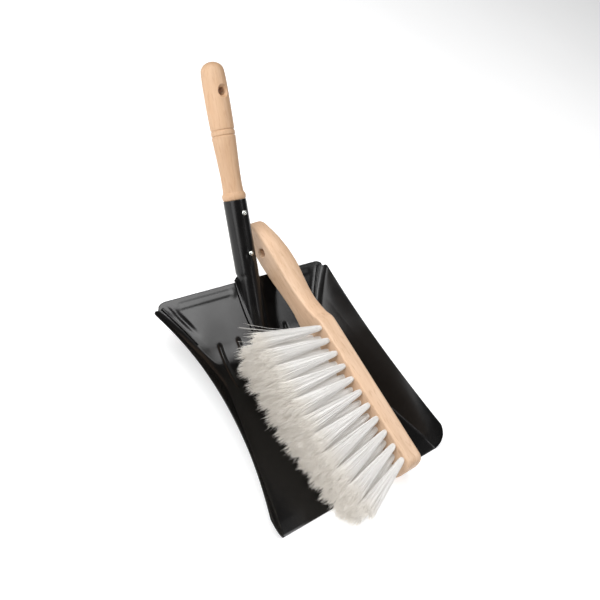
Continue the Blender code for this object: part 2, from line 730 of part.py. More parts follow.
def tuft_tips(roots, place):
    """World positions of the tips, each row kept above the floor and above the row below it."""
    floor = floor_height() + TUFT_TIP_RADIUS + 0.6 * MM
    tips = {}
    rows = len(ROW_COUNTS)
    for row, index, root, lean in roots:
        tips[(row, index)] = place @ (root + lean * TUFT_LENGTH)
    for row in range(rows - 1, -1, -1):
        least = floor + (rows - 1 - row) * TIP_ROW_SPACE
        for index in range(ROW_COUNTS[row]):
            tip = tips[(row, index)]
            tip.z = max(tip.z, least)
    return tips


def make_tuft(name, start, leave, tip, collection):
    """One bundle: straight in its hole, then curving to its tip as it widens."""
    curve = bpy.data.curves.new(name, "CURVE")
    curve.dimensions = "3D"
    curve.bevel_depth = 1.0
    curve.bevel_resolution = 3
    curve.use_fill_caps = True
    knee = start + leave * (0.45 * TUFT_LENGTH)
    middle_radius = 0.5 * (TUFT_ROOT_RADIUS + TUFT_TIP_RADIUS)
    knee.z = max(knee.z, floor_height() + middle_radius + 1.2 * MM)
    shares = (0.0, 0.2, 0.42, 0.64, 0.84, 1.0)
    points = [(start - leave * TUFT_HOLE_DEPTH, TUFT_ROOT_RADIUS), (start + leave * 1 * MM, TUFT_ROOT_RADIUS)]
    for share in shares[1:]:
        radius = TUFT_ROOT_RADIUS + (TUFT_TIP_RADIUS - TUFT_ROOT_RADIUS) * share
        points.append((bezier2(start, knee, tip, share), radius))
    spline = curve.splines.new("POLY")
    spline.points.add(len(points) - 1)
    for point, (where, radius) in zip(spline.points, points):
        point.co = (*where, 1)
        point.radius = radius
    drawn = bpy.data.objects.new(name + "_curve", curve)
    collection.objects.link(drawn)
    depsgraph = bpy.context.evaluated_depsgraph_get()
    mesh = bpy.data.meshes.new_from_object(drawn.evaluated_get(depsgraph))
    bpy.data.objects.remove(drawn, do_unlink=True)
    bm = bmesh.new()
    bm.from_mesh(mesh)
    bmesh.ops.remove_doubles(bm, verts=bm.verts, dist=0.01 * MM)
    item = from_bmesh(name, bm, fibre_look, collection)
    sharpen(item)
    return item


def make_brush(collection, cutters):
    roots = tuft_roots()
    place = brush_frame()
    make_block(collection, cutters, [(root, lean) for _, _, root, lean in roots])
    tips = tuft_tips(roots, place)
    for row, index, root, lean in roots:
        start = place @ root
        leave = (place.to_3x3() @ lean).normalized()
        make_tuft("tuft_%d_%02d" % (row + 1, index + 1), start, leave, tips[(row, index)], collection)


def centre_all(collection):
    """Move every piece so that the bottom middle of the whole box is the origin."""
    points = [item.matrix_world @ v.co for item in collection.objects for v in item.data.vertices]
    low = Vector([min(p[k] for p in points) for k in range(3)])
    high = Vector([max(p[k] for p in points) for k in range(3)])
    shift = Vector((-0.5 * (low.x + high.x), -0.5 * (low.y + high.y), -low.z))
    for item in collection.objects:
        item.data.transform(Matrix.Translation(shift))
    print("moved by", tuple(round(v * 1000, 3) for v in shift))
    print("box", tuple(round(v * 1000, 2) for v in high - low))


clear_scene()
parts = new_collection("dust_pan_and_brush")
cutter_parts = new_collection("cutters")
black_look = material("black_paint", (0.012, 0.012, 0.013), 0.0, 0.25)
beech_look = material("beech", (0.68, 0.46, 0.30), 0.0, 0.5)
steel_look = material("bright_steel", (0.75, 0.75, 0.76), 1.0, 0.25)
fibre_look = material("white_fibre", (0.86, 0.84, 0.80), 0.0, 0.6)
make_tray(parts)
make_lap("corner_lap_left", -1, parts)
make_lap("corner_lap_right", 1, parts)
make_socket(parts, cutter_parts)
make_rivets(parts)
make_pan_handle(parts, cutter_parts)
make_brush(parts, cutter_parts)
centre_all(parts)
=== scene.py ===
# %% [markdown]
# # Dust pan and brush set
# A folded steel dust pan, painted gloss black, with a turned beech handle riveted into its socket.
# A hand brush lies in it on its side: a beech block with a handle, and forty-two tufts of white fibre.
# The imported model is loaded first. It gives every piece its place, in metres, and it never moves.

# %% Load the frame
import random
from math import acos, cos, pi, radians, sin, tan

import bmesh
import bpy
from mathutils import Matrix, Vector, noise


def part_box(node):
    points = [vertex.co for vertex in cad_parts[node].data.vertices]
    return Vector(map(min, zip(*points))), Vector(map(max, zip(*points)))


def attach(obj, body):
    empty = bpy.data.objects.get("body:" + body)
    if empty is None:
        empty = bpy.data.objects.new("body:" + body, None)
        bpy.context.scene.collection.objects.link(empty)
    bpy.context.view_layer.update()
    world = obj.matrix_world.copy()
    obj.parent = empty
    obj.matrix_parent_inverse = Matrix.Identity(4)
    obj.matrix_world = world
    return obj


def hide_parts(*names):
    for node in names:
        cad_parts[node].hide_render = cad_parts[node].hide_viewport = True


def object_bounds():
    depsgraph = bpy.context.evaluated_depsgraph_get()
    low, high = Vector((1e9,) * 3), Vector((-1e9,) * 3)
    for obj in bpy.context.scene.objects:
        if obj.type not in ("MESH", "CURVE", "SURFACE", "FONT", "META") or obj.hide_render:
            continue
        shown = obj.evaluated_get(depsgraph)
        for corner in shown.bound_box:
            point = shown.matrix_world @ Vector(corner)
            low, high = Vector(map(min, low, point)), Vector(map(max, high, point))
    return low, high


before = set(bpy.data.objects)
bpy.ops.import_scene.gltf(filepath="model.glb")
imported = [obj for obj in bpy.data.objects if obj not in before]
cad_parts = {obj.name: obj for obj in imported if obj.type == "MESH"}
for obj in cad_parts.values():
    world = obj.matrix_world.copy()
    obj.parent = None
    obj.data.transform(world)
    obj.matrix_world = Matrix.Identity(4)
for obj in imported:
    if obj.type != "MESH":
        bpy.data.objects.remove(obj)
cad_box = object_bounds()
if cad_box[0].x < -0.9:             # nothing drawn yet: take the box from the nodes themselves
    corners = [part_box(name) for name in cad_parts]
    cad_box = (Vector([min(low[k] for low, _ in corners) for k in range(3)]),
               Vector([max(high[k] for _, high in corners) for k in range(3)]))
MM = 0.001
LIP = Vector((0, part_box("pan_tray")[0].y, 0))      # middle of the front lip, on the table
print("nodes", len(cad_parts), "box", [round(v, 4) for v in cad_box[1] - cad_box[0]])

# %% [markdown]
# ## Shader arithmetic
# A material is a network of nodes. Drawing it by hand in code takes a line for every link, so a small
# class wraps a socket and lets Python's own operators add the Math nodes. Everything that isn't
# arithmetic comes from one method, which sets a node's choices first and then its sockets.

# %% A socket that takes part in expressions
class Wire:
    def __init__(self, finish, socket):
        self.finish, self.socket = finish, socket

    def __add__(self, other): return self.finish.math("ADD", self, other)
    def __radd__(self, other): return self.finish.math("ADD", other, self)
    def __sub__(self, other): return self.finish.math("SUBTRACT", self, other)
    def __rsub__(self, other): return self.finish.math("SUBTRACT", other, self)
    def __mul__(self, other): return self.finish.math("MULTIPLY", self, other)
    def __rmul__(self, other): return self.finish.math("MULTIPLY", other, self)


# %% A material and the ways to add to it
class Finish:
    def __init__(self, name):
        self.material = bpy.data.materials.new(name)
        self.material.use_nodes = True
        self.tree = self.material.node_tree
        self.shader = self.tree.nodes["Principled BSDF"]

    def node(self, kind, settings=None, sockets=None, out=0):
        """Add a node of any kind: its choices first, then the values or links of its sockets."""
        made = self.tree.nodes.new("ShaderNode" + kind)
        for name, value in (settings or {}).items():
            if name == "stops":
                ramp = made.color_ramp
                while len(ramp.elements) < len(value):
                    ramp.elements.new(0.5)
                for element, (place, shade) in zip(ramp.elements, value):
                    element.position = place
                    element.color = (*shade, 1) if isinstance(shade, tuple) else (shade, shade, shade, 1)
            else:
                setattr(made, name, value)
        for key, value in (sockets or {}).items():
            self.feed(made.inputs[key], value)
        return Wire(self, made.outputs[out])

    def feed(self, target, value):
        if isinstance(value, Wire):
            self.tree.links.new(value.socket, target)
        else:
            target.default_value = value

    def math(self, operation, a, b=0.0):
        return self.node("Math", {"operation": operation}, {0: a, 1: b})

    def place(self, centre=(0, 0, 0), turn=(0, 0, 0), stretch=(1, 1, 1)):
        """Object coordinates seen from a piece's own frame, in metres."""
        where = self.node("TexCoord", out="Object")
        local = self.node("Mapping", {"vector_type": "TEXTURE"},
                          {0: where, "Location": centre, "Rotation": turn})
        return self.node("Mapping", {}, {0: local, "Scale": stretch})

    def speckle(self, where, scale, detail=2.0, roughness=0.5, distortion=0.0):
        return self.node("TexNoise", {}, {"Vector": where, "Scale": scale, "Detail": detail,
                                           "Roughness": roughness, "Distortion": distortion})

    def ramp(self, value, *stops):
        return self.node("ValToRGB", {"stops": stops}, {0: value})

    def blend(self, share, first, second):
        return self.node("Mix", {"data_type": "RGBA"}, {0: share, 6: first, 7: second}, out=2)

    def bump(self, height, strength, distance, normal=None):
        sockets = {"Height": height, "Strength": strength, "Distance": distance}
        if normal:
            sockets["Normal"] = normal
        return self.node("Bump", {}, sockets)

    def set(self, **sockets):
        for name, value in sockets.items():
            self.feed(self.shader.inputs[name.replace("_", " ")], value)
        return self.material


print("shader helpers ready")

# %% [markdown]
# ## Black paint
# The pan is dipped or powder coated: almost black, glossy, with the faint orange peel that paint has
# when it dries. Handling leaves patches that shine a little less, and dust settles as pale specks.
# Noise at three scales makes these, and only the roughness and a shallow bump carry most of it,
# since a black surface shows its character in its reflections.

# %% Black paint
def black_paint():
    paint = Finish("gloss_black_paint")
    where = paint.place()
    peel = paint.speckle(where, 620, 1.0)
    dents = paint.speckle(where, 34, 1.0)
    handled = paint.speckle(where, 55, 4.0, 0.6)
    dust = paint.ramp(paint.speckle(where, 1500, 0.0), (0.74, 0.0), (0.80, 1.0))
    tint = paint.ramp(handled, (0.3, (0.0030, 0.0028, 0.0028)), (0.7, (0.0052, 0.0048, 0.0047)))
    colour = paint.blend(dust * 0.09, tint, (0.16, 0.15, 0.14, 1))
    normal = paint.bump(peel, 0.02, 0.0003, paint.bump(dents, 0.02, 0.002))
    return paint.set(Base_Color=colour, Roughness=0.19 + handled * 0.09, Normal=normal, IOR=1.5,
                     Specular_IOR_Level=0.32)


black = black_paint()
print("made", black.name)

# %% [markdown]
# ## Beech
# Steamed beech is pale and slightly pink. Its grain runs along the handle: long soft bands, fine
# streaks, and the short dark flecks by which beech is known. A noise stretched along the grain gives
# each of them. The wood is waxed, so it has a soft shine, a little rougher where the grain is open.

# %% Beech
def beech(name, centre, turn, pale, deep, seed):
    wood = Finish(name)
    stretched = wood.place(centre, turn, (6, 60, 60))
    offset = wood.node("VectorMath", {"operation": "ADD"},
                       {0: stretched, 1: (seed, seed * 0.37, seed * 0.71)})
    bands = wood.speckle(offset, 1.0, 3.0, 0.55, 0.8)
    streaks = wood.speckle(offset, 9.0, 4.0, 0.6, 0.2)
    fleck_place = wood.place(centre, turn, (95, 520, 520))
    flecks = wood.ramp(wood.speckle(fleck_place, 1.0, 1.0, 0.5), (0.60, 0.0), (0.68, 1.0))
    cloud = wood.speckle(wood.place(centre, turn, (14, 30, 30)), 1.0, 2.0)
    colour = wood.ramp(bands * 0.62 + streaks * 0.38, (0.36, deep), (0.64, pale))
    warmer = (pale[0] * 1.03, pale[1] * 0.93, pale[2] * 0.86, 1)
    colour = wood.blend(wood.ramp(cloud, (0.35, 0.0), (0.7, 0.45)), colour, warmer)
    colour = wood.blend(flecks * 0.27, colour, (0.40, 0.21, 0.10, 1))
    normal = wood.bump(streaks - flecks * 0.5, 0.10, 0.0003)
    return wood.set(Base_Color=colour, Roughness=0.42 + streaks * 0.14, Normal=normal, IOR=1.45)


print("beech is made for each piece, along its own grain")

# %% [markdown]
# ## Steel and fibre
# The rivets are bright plated steel with the fine scuffs of the setting tool. The bristles are a
# white synthetic fibre that lets some light through; a very faint glow stands for that light.
# Towards the tips each fibre is split into finer hairs and has picked up a little dust, so the
# colour turns creamier with the distance from the block.

# %% Steel
def rivet_steel():
    steel = Finish("bright_steel")
    where = steel.place()
    scuff = steel.speckle(where, 900, 3.0)
    colour = steel.ramp(scuff, (0.3, (0.60, 0.62, 0.58)), (0.7, (0.82, 0.84, 0.80)))
    return steel.set(Base_Color=colour, Metallic=1.0, Roughness=0.16 + scuff * 0.2,
                     Normal=steel.bump(scuff, 0.15, 0.0002))


# %% Fibre
def white_fibre(centre, turn, length):
    fibre = Finish("white_fibre")
    local = fibre.place(centre, turn)
    out = fibre.node("SeparateXYZ", {}, {0: local}, out="Z")
    clump = fibre.speckle(local, 130, 3.0, 0.6)
    hair = fibre.speckle(local, 900, 1.0)
    aged = fibre.ramp(out * (1 / length) + clump * 0.16 - 0.08, (0.72, 0.0), (1.02, 1.0))
    clean = fibre.ramp(hair, (0.25, (0.81, 0.80, 0.785)), (0.75, (0.89, 0.88, 0.865)))
    dusty = fibre.ramp(clump, (0.3, (0.80, 0.765, 0.71)), (0.7, (0.93, 0.905, 0.86)))
    colour = fibre.blend(aged, clean, dusty)
    return fibre.set(Base_Color=colour, Roughness=0.5 + hair * 0.15, IOR=1.45,
                     Emission_Color=(1.0, 0.93, 0.84, 1), Emission_Strength=0.065)


steel = rivet_steel()
print("made", steel.name)

# %% [markdown]
# ## Camera
# The camera looks down on the pan from its front left corner and is rolled, so that the handle
# stands nearly upright in the view. Its place is given in metres, and its direction by the
# azimuth round the object, the elevation above the table, and the roll.

# %% Camera
def aim(azimuth, elevation, roll):
    """Rotation matrix of a camera that looks at the object from that direction."""
    back = Vector((sin(azimuth) * cos(elevation), -cos(azimuth) * cos(elevation), sin(elevation)))
    level = Vector((0, 0, 1)).cross(back).normalized()
    rise = back.cross(level)
    right = level * cos(roll) + rise * sin(roll)
    up = rise * cos(roll) - level * sin(roll)
    return Matrix((right, up, back)).transposed()


camera_data = bpy.data.cameras.new("camera")
camera_data.sensor_width = 36
camera_data.lens = 44.56
camera = bpy.data.objects.new("camera", camera_data)
camera.location = LIP + Vector((-0.48222, -0.10662, 0.57556))
camera.rotation_mode = "QUATERNION"
camera.rotation_quaternion = aim(radians(-59.6), radians(41.0), radians(30.874)).to_quaternion()
bpy.context.scene.collection.objects.link(camera)
bpy.context.scene.camera = camera
print("camera at", [round(v, 3) for v in camera.location])

# %% [markdown]
# ## Mesh helpers
# Every new piece starts as a bmesh, is shaped by operators, and becomes an object that sits at the
# origin with its place in its mesh. Its edges are marked sharp where the angle says so, the piece is
# tied to its body and to a finish, and the CAD node it stands for is hidden.

# %% From bmesh to piece
def piece(name, bm, look, slot, body, *nodes, sharp=35):
    for face in bm.faces:
        face.smooth = True
    for edge in bm.edges:
        edge.smooth = len(edge.link_faces) < 2 or edge.calc_face_angle() < radians(sharp)
    mesh = bpy.data.meshes.new(name)
    bm.to_mesh(mesh)
    bm.free()
    mesh.materials.append(look)
    made = bpy.data.objects.new(name, mesh)
    bpy.context.scene.collection.objects.link(made)
    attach(made, body)
    if nodes:
        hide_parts(*nodes)
    print(name, "faces", len(mesh.polygons))
    return made


def unit_grid(columns, rows, shape):
    """A grid bent into shape: shape gives a point for each (across, along), both from -1 to 1."""
    bm = bmesh.new()
    bmesh.ops.create_grid(bm, x_segments=columns, y_segments=rows, size=1)
    for vert in bm.verts:
        vert.co = shape(vert.co.x, vert.co.y)
    return bm


def join(parts, merge=0.02 * MM):
    whole = bmesh.new()
    for part in parts:
        loose = bpy.data.meshes.new("loose")
        part.to_mesh(loose)
        part.free()
        whole.from_mesh(loose)
        bpy.data.meshes.remove(loose)
    bmesh.ops.remove_doubles(whole, verts=whole.verts, dist=merge)
    return whole


def face_up(bm, way=Vector((0, 0, 1))):
    """Make a sheet's faces agree, and point mostly one way."""
    bmesh.ops.recalc_face_normals(bm, faces=bm.faces)
    if sum(face.normal.dot(way) * face.calc_area() for face in bm.faces) < 0:
        bmesh.ops.reverse_faces(bm, faces=bm.faces)


def soften(bm, verts, passes, along=True):
    """Smooth some vertices a few times, as a bend is in sheet metal or an edge in sanded wood."""
    for _ in range(passes):
        bmesh.ops.smooth_vert(bm, verts=verts, factor=0.5,
                              use_axis_x=along, use_axis_y=True, use_axis_z=True)


def sheet_metal(made, thickness, rim):
    """Give an open sheet its thickness below the face that points up, and soften its cut edges."""
    wall = made.modifiers.new("thickness", "SOLIDIFY")
    wall.thickness, wall.offset = thickness, -1
    wall.use_even_offset = wall.use_quality_normals = True
    soft = made.modifiers.new("rim", "BEVEL")
    soft.width, soft.segments, soft.limit_method, soft.angle_limit = rim, 2, "ANGLE", radians(60)
    return made


print("mesh helpers ready")

# %% [markdown]
# ## The pan's shape
# The pan is one sheet of steel, 0.8 mm thick. Its floor is flat behind a lip that slopes to the
# table, then sweeps up in a scoop to the back wall. The sides are folded up and lean outwards. Two
# functions give the height of the middle strip and its half width at a distance from the lip; the
# grid is bent onto them, so that it can be as fine as the reflections need.

# %% Middle strip, front to back
SHEET, DEPTH, TOP_Y, TOP_Z, SCOOP = 0.8 * MM, 173.7 * MM, 246.8 * MM, 44.1 * MM, 95 * MM
LIP_BAND, LIP_DROP = 14 * MM, 1.0 * MM
FLOOR = SHEET + LIP_DROP
RISE, RUN = TOP_Z - FLOOR, TOP_Y - DEPTH
SLOPE = pi / 2 - acos(RISE / (RISE * RISE + RUN * RUN) ** 0.5)
BEND = SCOOP * tan(SLOPE / 2)
HALF_FRONT, HALF_REAR, HALF_TOP = 111.7 * MM, 63.8 * MM, 113.6 * MM


def height(y):
    if y < LIP_BAND:
        return SHEET + LIP_DROP * max(y, 0) / LIP_BAND
    if y <= DEPTH - BEND:
        return FLOOR
    if y < DEPTH + BEND * cos(SLOPE):
        return FLOOR + SCOOP - (SCOOP ** 2 - (y - DEPTH + BEND) ** 2) ** 0.5
    return FLOOR + (y - DEPTH) * tan(SLOPE)


def half_width(y):
    if y <= DEPTH:
        return HALF_FRONT + y / DEPTH * (HALF_REAR - HALF_FRONT)
    return HALF_REAR + (y - DEPTH) / RUN * (HALF_TOP - HALF_REAR)


def upward(y):
    """Direction square to the strip at y."""
    step = 0.5 * MM
    return Vector((0, height(y - step) - height(y + step), 2 * step)).normalized()


print("back wall slope", round(SLOPE * 57.3, 1), "degrees")

# %% Pressed ribs, beads and dents
RIBS = (-57.3 * MM, -32.8 * MM, 32.8 * MM, 57.3 * MM)
RIB_MIDDLE, RIB_REACH, RIB_HALF, RIB_FADE = 174.5 * MM, 20.5 * MM, 3.5 * MM, 4 * MM
BEAD_FROM, BEAD_TO, BEAD_FADE = 29 * MM, 88 * MM, 6 * MM                 # along the back wall
BEAD_BELOW, BEAD_FLAT, BEAD_EDGE, BEAD_HEIGHT = 8.5 * MM, 1.6 * MM, 2.6 * MM, 0.32 * MM
CORNER_REACH, CORNER_DROP, CORNER_FROM = 11 * MM, 7 * MM, 218 * MM       # rounded top corners


def hump(distance, half):
    """1 in the middle of a rounded bump, 0 from half a width away."""
    return 0.5 + 0.5 * cos(pi * min(1.0, abs(distance) / half))


def pressed(x, y):
    """How far the press and later knocks push the sheet along its normal."""
    depth = 0.0
    for rib in RIBS:
        past = max(0.0, abs(y - RIB_MIDDLE) - RIB_REACH)
        depth -= LIP_DROP * hump(x - rib, RIB_HALF) * hump(past, RIB_FADE)
    ends = max(0.0, BEAD_FROM - abs(x), abs(x) - BEAD_TO)
    from_bead = max(0.0, abs(y - TOP_Y + BEAD_BELOW * cos(SLOPE)) - BEAD_FLAT)
    depth += BEAD_HEIGHT * hump(from_bead, BEAD_EDGE) * hump(ends, BEAD_FADE)
    knock = Vector((abs(x) - 22 * MM, y - TOP_Y + 8 * MM)).length
    return depth + 0.5 * MM * hump(knock, 7 * MM)


def crumple(x, y):
    """Slow waves of the drawn sheet, and the pucker where each side wall's corner was folded over."""
    from_seam = half_width(y) - abs(x)
    clear = min(1.0, from_seam / (9 * MM)) * min(1.0, max(0.0, y - 40 * MM) / (60 * MM))
    waves = 0.45 * MM * clear * noise.noise(Vector((x, y * 0.8, 0.02)) * 26)
    pucker = -0.9 * MM * hump(from_seam - 10.5 * MM, 5 * MM) * hump(y - 226 * MM, 19 * MM)
    pucker += 0.5 * MM * hump(from_seam - 6 * MM, 5 * MM) * hump(y - 238 * MM, 8 * MM)
    return waves + pucker * (1.0 if x < 0 else 0.25)


def wall_point(x, y):
    """The strip's upper face, its two top corners rounded off."""
    reach = min(CORNER_REACH, max(0.0, abs(x) - (HALF_TOP - CORNER_REACH) * half_width(y) / HALF_TOP))
    share = max(0.0, y - CORNER_FROM) / (TOP_Y - CORNER_FROM)
    y -= share * CORNER_DROP * (1 - (1 - (reach / CORNER_REACH) ** 2) ** 0.5) * cos(SLOPE)
    return LIP + Vector((x, y, height(y)))


print("bead stands", BEAD_HEIGHT / MM, "mm proud")

# %% [markdown]
# ## The side walls
# Each side wall hangs between four lines: the fold at the floor, the bowed top edge, the front
# corner and the seam at the back. A surface between four lines is a Coons patch: two ruled surfaces
# added, less the one through the four corners.

# %% Side wall
SIDE_FRONT, SIDE_REAR = LIP + Vector((123.3, 15.9, 18.7)) * MM, LIP + Vector((119.2, 237.3, 41.0)) * MM
SIDE_BOW = Vector((-14.4 * MM, 0, 8.4 * MM))       # the top edge's bow, inwards and upwards
ROUND_FROM = 0.93                                  # share of the top edge at which it turns in


def bow(a, b, c, t):
    return a * (1 - t) ** 2 + b * 2 * t * (1 - t) + c * t * t


def side_top(share):
    """Top edge of the right side wall, front to rear; the last part rounds into the seam."""
    if share < ROUND_FROM:
        t = share / ROUND_FROM
        return SIDE_FRONT.lerp(SIDE_REAR, t) + SIDE_BOW * 4 * t * (1 - t)
    t = (share - ROUND_FROM) / (1 - ROUND_FROM)
    return bow(SIDE_REAR, SIDE_REAR + Vector((0.2, 4, 0.8)) * MM, wall_point(HALF_TOP, TOP_Y), t)


def side_wall(u, v):
    """Right side wall at u along the fold and v up from it, both from 0 to 1."""
    fold = lambda y: wall_point(half_width(y), y)
    seam = fold(DEPTH + v * RUN)
    corner, rear = fold(0), fold(DEPTH)
    front = bow(corner, LIP + Vector((121.8, 1.0, 13.7)) * MM, side_top(0), v)
    ruled = fold(u * DEPTH).lerp(side_top(u), v) + front.lerp(seam, u)
    return ruled - corner.lerp(rear, u).lerp(side_top(0).lerp(side_top(1), u), v)


# %% The whole pan in one sheet
def strip_point(across, along):
    y = DEPTH * (1 + along) if along < 0 else DEPTH + along * RUN
    x = across * half_width(y)
    return wall_point(x, y) + upward(y) * (pressed(x, y) + crumple(x, y))


def make_pan():
    strip = unit_grid(128, 150, strip_point)
    sides = [unit_grid(75, 75, lambda u, v: side_wall(0.5 + 0.5 * u, 0.5 + 0.5 * v)) for _ in range(2)]
    bmesh.ops.scale(sides[1], verts=sides[1].verts, vec=(-1, 1, 1))
    pan = join([strip, *sides])
    face_up(pan)
    folds = [vert for vert in pan.verts if not vert.is_boundary and near_fold(vert.co) < 3.2 * MM]
    soften(pan, folds, 7)
    sheet = piece("dust_pan", pan, black, "black_paint", "pan", "pan_tray", sharp=60)
    return sheet_metal(sheet, SHEET, 0.22 * MM)


def near_fold(point):
    """Distance from the floor's side fold, in plan; far behind it for the back wall."""
    y = point.y - LIP.y
    return abs(abs(point.x) - half_width(y)) if y < DEPTH + 8 * MM else 1.0


dust_pan = make_pan()

# %% [markdown]
# ## Corner laps
# At each rear corner a flap of the side wall is folded round onto the inside of the back wall. It
# is a narrow tongue of the same steel, with a rolled edge that catches the light.

# %% Corner laps
def lap_point(side):
    def shape(across, along):
        t = 0.5 + 0.5 * along
        y = (203 + 40.5 * t) * MM
        outer = half_width(y) - (1.9 if side > 0 else 1.2) * MM
        width = (4.2 if side > 0 else 2.2) * MM * min(1.0, 0.3 + 1.5 * t)
        x = side * (outer - width * (0.5 + 0.5 * across))
        edges = hump(across + 0.7, 0.5) + 0.3 * hump(across - 0.7, 0.4)
        roll = (0.7 if side > 0 else 0.15) * MM * edges
        return wall_point(x, y) + upward(y) * (1.1 * MM + roll + crumple(x, y))
    return shape


for side, word in ((-1, "left"), (1, "right")):
    lap = unit_grid(20, 40, lap_point(side))
    face_up(lap)
    lap_sheet = piece("fold_" + word, lap, black, "black_paint", "pan", "corner_lap_" + word)
    sheet_metal(lap_sheet, SHEET, 0.2 * MM)

# %% [markdown]
# ## The socket
# The handle is held by a piece of sheet rolled into a tube. Lower down the tube opens out into a
# tongue with two flanges, which are spot welded to the back wall. Its section is a ring that turns
# into an arch on two feet, so one grid, bent round the section and run along the axis, makes it all.

# %% The socket's own frame: across, above its axis, and down from the rim
TILT = radians(42.45)
DOWN = Vector((0, -cos(TILT), -sin(TILT)))
ABOVE = Vector((0, -sin(TILT), cos(TILT)))
RIM = LIP + Vector((0, 307.1 * MM, 104.6 * MM))
TUBE, CLOSED, OPENED, TONGUE_END, GAP = 12.3 * MM, 76 * MM, 83 * MM, 142 * MM, 0.3 * MM


def on_socket(x, n, s):
    return RIM + DOWN * s + ABOVE * n + Vector((x, 0, 0))


def wall_under(s):
    """Height above the axis at which the pan's face lies, s below the rim."""
    low, high = -40 * MM, 40 * MM
    for _ in range(30):
        middle = (low + high) / 2
        point = on_socket(0, middle, s) - LIP
        low, high = (low, middle) if point.z > height(point.y) else (middle, high)
    return high


def foot_level(k):
    """Height of the tongue's flanges above the axis, at the k-th of sixty steps along it."""
    clear = wall_under(OPENED + (TONGUE_END - OPENED) * k / 60) + GAP + SHEET + 0.3 * MM
    return min(clear, TUBE - 1.2 * MM)


levels = [foot_level(k) for k in range(61)]


def tube_section(share, s):
    angle = share * (pi - radians(1.6))
    pinch = 0.9 * MM * hump(s - 61 * MM, 9 * MM) * hump(angle - radians(20), radians(24))
    return Vector(((TUBE - pinch) * sin(angle), (TUBE - pinch) * cos(angle)))


def arch_section(share, s):
    k = max(0.0, min(59.999, (s - OPENED) / (TONGUE_END - OPENED) * 60))
    level = levels[int(k)] + (levels[int(k) + 1] - levels[int(k)]) * (k - int(k))
    reach = acos(level / TUBE)
    foot = TUBE * sin(reach)
    if share <= 0.86:
        angle = reach * share / 0.86
        return Vector((TUBE * sin(angle), TUBE * cos(angle)))
    return Vector((foot + 4 * MM * (share - 0.86) / 0.14, level))


def socket_point(across, along):
    s = (0.5 + 0.5 * along) * TONGUE_END
    share = abs(across)
    if s <= CLOSED:
        x, n = tube_section(share, s)
    elif s < OPENED:
        t = (s - CLOSED) / (OPENED - CLOSED)
        x, n = tube_section(share, CLOSED).lerp(arch_section(share, OPENED), t * t * (3 - 2 * t))
    else:
        x, n = arch_section(share, s)
    return on_socket(x if across > 0 else -x, n, s)


def make_socket():
    socket = unit_grid(100, 142, socket_point)
    soften(socket, [vert for vert in socket.verts if not vert.is_boundary], 2)
    bmesh.ops.recalc_face_normals(socket, faces=socket.faces)
    top = on_socket(0, TUBE, 20 * MM)
    crown = min(socket.faces, key=lambda face: (face.calc_center_median() - top).length)
    if crown.normal.dot(ABOVE) < 0:
        bmesh.ops.reverse_faces(socket, faces=socket.faces)
    sheet = piece("socket", socket, black, "black_paint", "pan", "handle_socket", sharp=60)
    return sheet_metal(sheet, SHEET, 0.2 * MM)


socket = make_socket()

# %% [markdown]
# ## Rivets
# Two rivets hold the handle. A rivet is a turned shape, so its half profile is spun about its axis.
# The setting tool left a small dimple in the upper one.

# %% Turning a half profile about the socket's normal or axis
def turned(profile, steps, place):
    """Spin (radius, height) points about Z through a full turn and move the result into place."""
    bm = bmesh.new()
    points = [bm.verts.new((r, 0, z)) for r, z in profile]
    edges = [bm.edges.new(pair) for pair in zip(points, points[1:])]
    bmesh.ops.spin(bm, geom=points + edges, cent=(0, 0, 0), axis=(0, 0, 1), angle=2 * pi, steps=steps,
                   use_merge=True)
    bmesh.ops.remove_doubles(bm, verts=bm.verts, dist=0.005 * MM)
    bmesh.ops.recalc_face_normals(bm, faces=bm.faces)
    bmesh.ops.transform(bm, matrix=place, verts=bm.verts)
    return bm


def stand(origin, x_axis, y_axis, z_axis):
    return Matrix.Translation(origin) @ Matrix((x_axis, y_axis, z_axis)).transposed().to_4x4()


def make_rivet(name, s, dimple):
    head, crown, shank, length = 2.8 * MM, 1.5 * MM, 1.6 * MM, 14.9 * MM
    dome = [(head * sin(pi / 2 * k / 10), crown * cos(pi / 2 * k / 10)) for k in range(11)]
    dome[0] = (0, crown)
    profile = dome + [(head * 0.98, -0.12 * MM), (shank, -0.12 * MM), (shank, -length), (0, -length)]
    seat = stand(on_socket(0, TUBE + GAP, s), Vector((1, 0, 0)), -DOWN, ABOVE)
    rivet = turned(profile, 36, seat)
    for vert in rivet.verts:
        local = seat.inverted() @ vert.co
        if local.z > 0:
            near = (local.xy - Vector((-0.5, 0.35)) * MM).length
            vert.co -= ABOVE * dimple * hump(near, 1.1 * MM)
            vert.co += ABOVE * 0.06 * MM * hump((local.xy - Vector((0.9, -0.6)) * MM).length, 0.8 * MM)
    return piece(name, rivet, steel, "bright_steel", "pan", name.replace("head_", ""))


make_rivet("rivet_head_upper", 14 * MM, 0.75 * MM)
make_rivet("rivet_head_lower", 57 * MM, 0.12 * MM)

# %% [markdown]
# ## The turned handle
# The pan's handle comes off a lathe: a rounded grip, two grooves cut with the point of the tool, a
# slim waist, and a bead that sits on the socket's rim. A spigot below the bead fills the tube. The
# profile is spun and then subdivided, with close rings where an edge stays crisp. The hanging hole
# is drilled afterwards through a countersink on each side, as it is in the workshop.

